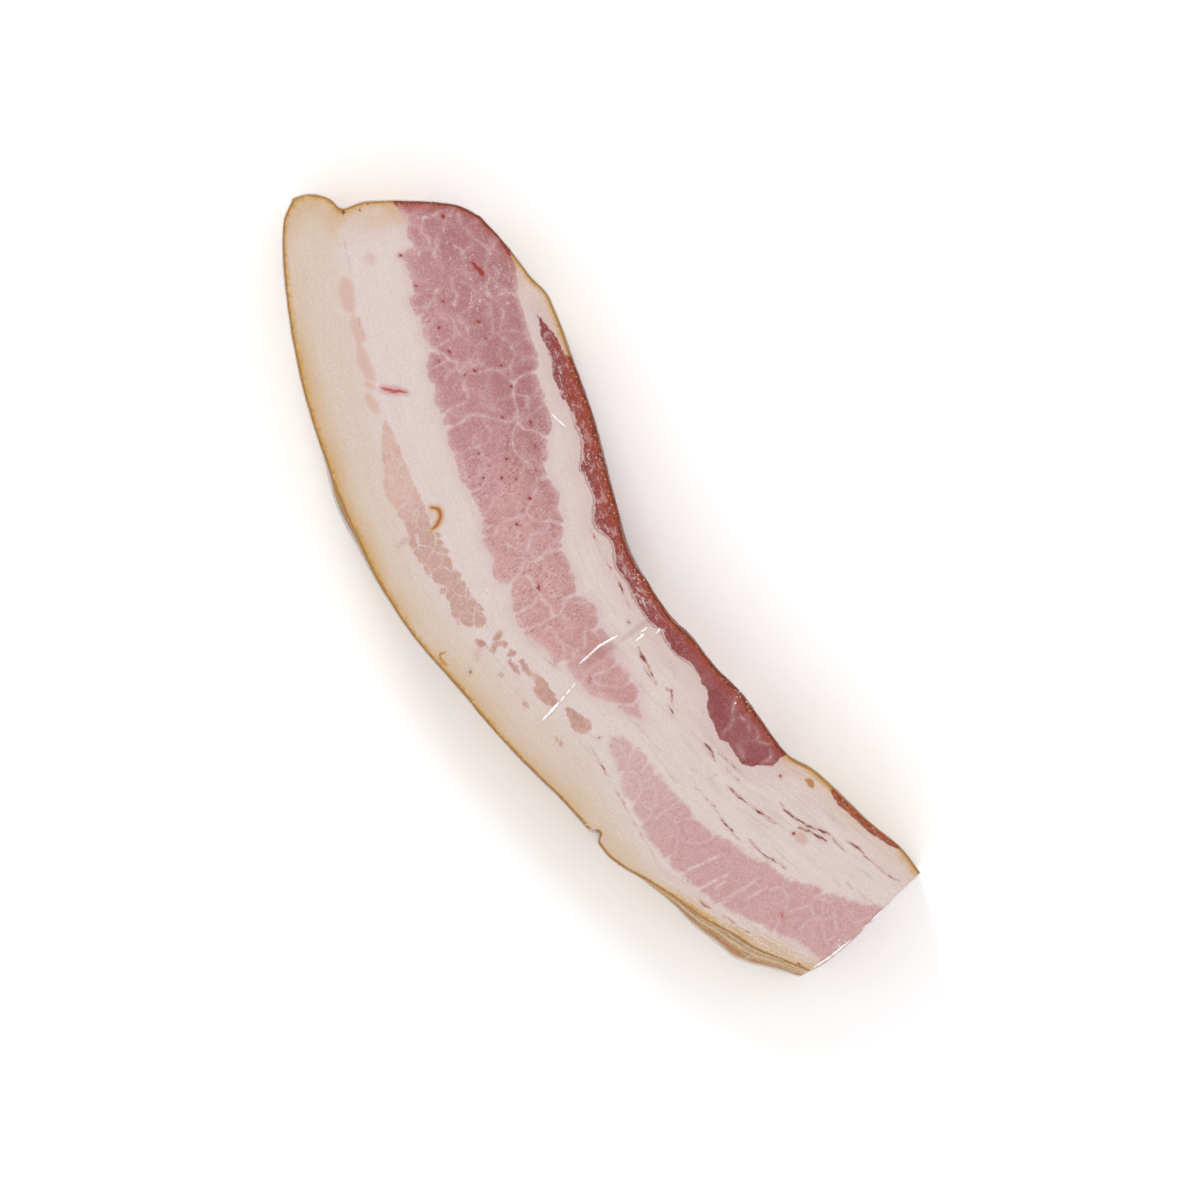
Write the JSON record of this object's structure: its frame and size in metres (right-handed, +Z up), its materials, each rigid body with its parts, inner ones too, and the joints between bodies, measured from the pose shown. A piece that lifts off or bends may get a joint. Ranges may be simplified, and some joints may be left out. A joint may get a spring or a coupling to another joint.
{
  "type": "slab bacon",
  "caption": "Unsliced chunk of cured, smoked pork belly sealed in clear film, lying on a cut face; browned skin and meat sides, streaky lean and fat on the cut faces.",
  "frame": {"origin": "middle of the base, at the centre of the bounding box, on the surface that the slab lies on", "axes": "+X along the slab from the wide smoked head end to the narrow fresh-cut end, +Y towards the meat side, -Y towards the skin side, +Z up out of the cut face that shows"},
  "size_m": [0.2334, 0.0762, 0.0301],
  "materials": {
    "cured_pork": "moist cut fat and lean, smoked brown at the sides, under tight clear film"
  },
  "bodies": {
    "root": {"bacon_slab": "cured_pork"}
  },
  "joints": []
}
